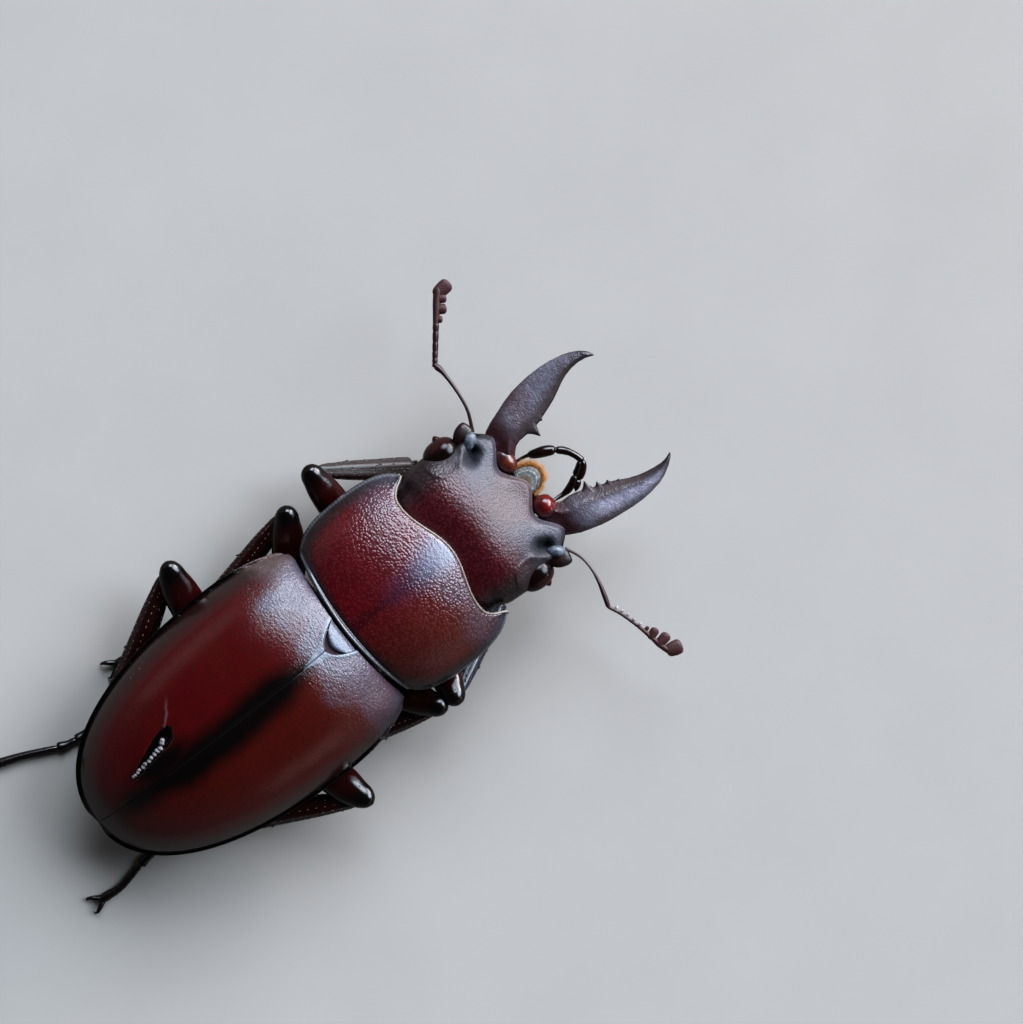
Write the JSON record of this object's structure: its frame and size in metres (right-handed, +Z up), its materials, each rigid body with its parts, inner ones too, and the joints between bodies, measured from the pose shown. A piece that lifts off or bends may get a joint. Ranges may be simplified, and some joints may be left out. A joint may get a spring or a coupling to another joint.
{
  "type": "stag beetle",
  "caption": "Red-brown male stag beetle standing still: smooth wing cases, grained neck shield and head, broad curved jaws, elbowed feelers with comb clubs and jointed legs.",
  "frame": {"origin": "on the ground, under the middle of the whole beetle's box, jaws to hind claws and feeler to feeler", "axes": "+Z up; the beetle faces -Y, so +Y runs from its head to its tail; +X is the beetle's left"},
  "size_m": [0.0208, 0.0356, 0.0072],
  "materials": {
    "wing_case": "polished dark mahogany shell, black along the seam and rim",
    "neck_shield": "finely grained dark red shell with a satin gloss",
    "head": "finely grained dark red shell, satin and greyer towards the front",
    "jaw": "satin purple-brown horn with darker tips",
    "limb": "glossy black-red",
    "underside": "glossy black-red with fine pits",
    "mouth": "glossy black with amber at the joints",
    "eye": "very glossy black, finely faceted",
    "club": "velvety pinkish brown"
  },
  "bodies": {
    "root": {"abdomen": "underside", "thorax_underside": "underside", "prothorax_underside": "underside", "mentum": "underside", "elytron_left": "wing_case", "elytron_right": "wing_case", "scutellum": "wing_case", "pronotum": "neck_shield", "head": "head", "labrum": "mouth", "palp_left": "mouth", "eye_left": "eye", "mandible_left": "jaw", "antenna_scape_left": "limb", "antenna_funicle_left": "limb", "antenna_club_left": "club", "coxa_front_left": "limb", "femur_front_left": "limb", "tibia_front_left": "limb", "tarsus_front_left": "limb", "coxa_middle_left": "limb", "femur_middle_left": "limb", "tibia_middle_left": "limb", "tarsus_middle_left": "limb", "coxa_hind_left": "limb", "femur_hind_left": "limb", "tibia_hind_left": "limb", "tarsus_hind_left": "limb", "palp_right": "mouth", "eye_right": "eye", "mandible_right": "jaw", "antenna_scape_right": "limb", "antenna_funicle_right": "limb", "antenna_club_right": "club", "coxa_front_right": "limb", "femur_front_right": "limb", "tibia_front_right": "limb", "tarsus_front_right": "limb", "coxa_middle_right": "limb", "femur_middle_right": "limb", "tibia_middle_right": "limb", "tarsus_middle_right": "limb", "coxa_hind_right": "limb", "femur_hind_right": "limb", "tibia_hind_right": "limb", "tarsus_hind_right": "limb"}
  },
  "joints": []
}
